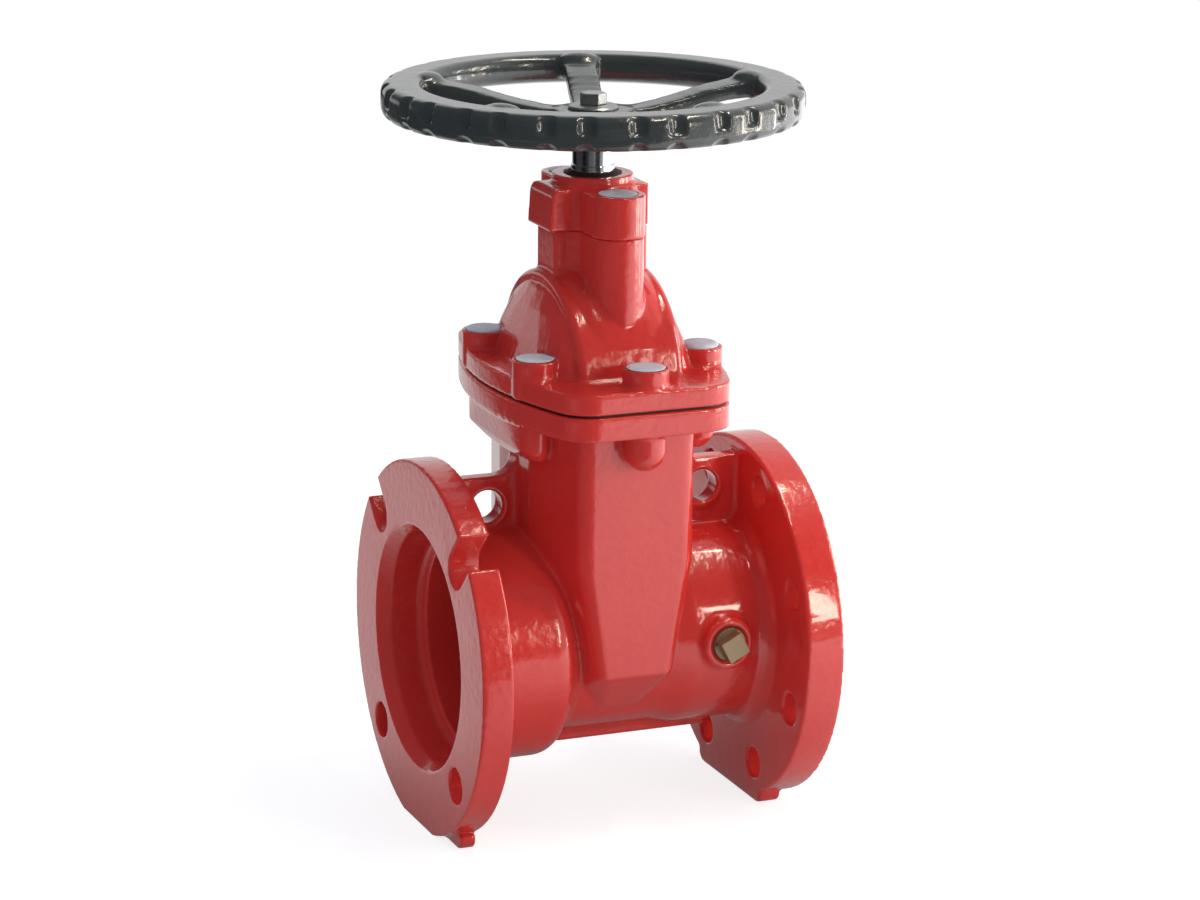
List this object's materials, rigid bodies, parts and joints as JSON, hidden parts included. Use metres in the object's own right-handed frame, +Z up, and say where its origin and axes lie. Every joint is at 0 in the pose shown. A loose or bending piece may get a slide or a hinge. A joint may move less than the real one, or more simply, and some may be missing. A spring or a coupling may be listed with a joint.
{
  "type": "resilient-seated gate valve with handwheel",
  "caption": "Red cast gate valve for a hydrant line: bolted bell socket at one end, drilled flange at the other, bolted bonnet and a turning handwheel on a non-rising stem.",
  "frame": {"origin": "on the floor, under the crossing of the pipe axis and the stem axis", "axes": "+X along the pipe towards the drilled flange, the bell towards -X, +Z up the stem"},
  "size_m": [0.2552, 0.2552, 0.4554],
  "materials": {
    "red_epoxy": "glossy red fusion-bonded epoxy on ductile iron",
    "black_enamel": "glossy black-grey enamel on cast iron",
    "polished_stem": "polished stainless steel",
    "plain_steel": "dull plated steel",
    "brass_plug": "weathered brass",
    "bronze": "machined bronze",
    "grey_sealant": "smooth grey sealing compound",
    "black_rubber": "matt black rubber",
    "gate_rubber": "satin moulded black rubber"
  },
  "bodies": {
    "valve": {"body": "red_epoxy", "bonnet": "red_epoxy", "seal_plate": "red_epoxy", "bonnet_gasket": "black_rubber", "stem_wiper": "black_rubber", "gate": "gate_rubber", "stem_nut": "bronze", "thrust_ring": "bronze", "drain_plug": "brass_plug", "bonnet_bolt_1": "plain_steel", "bonnet_bolt_2": "plain_steel", "bonnet_bolt_3": "plain_steel", "bonnet_bolt_4": "plain_steel", "bonnet_bolt_5": "plain_steel", "bonnet_bolt_6": "plain_steel", "bonnet_plug_1": "grey_sealant", "bonnet_plug_2": "grey_sealant", "bonnet_plug_3": "grey_sealant", "bonnet_plug_4": "grey_sealant", "bonnet_plug_5": "grey_sealant", "bonnet_plug_6": "grey_sealant", "gland_bolt_1": "plain_steel", "gland_bolt_2": "plain_steel", "gland_plug_1": "grey_sealant", "gland_plug_2": "grey_sealant"},
    "wheel": {"stem": "polished_stem", "handwheel": "black_enamel", "wheel_washer": "plain_steel", "wheel_bolt": "plain_steel"}
  },
  "joints": [
    {"name": "wheel_turn", "type": "hinge", "parent": "valve", "child": "wheel", "pos_m": [0, 0, 0.42], "axis": [0, 0, 1], "range_deg": [0, 4860]}
  ]
}
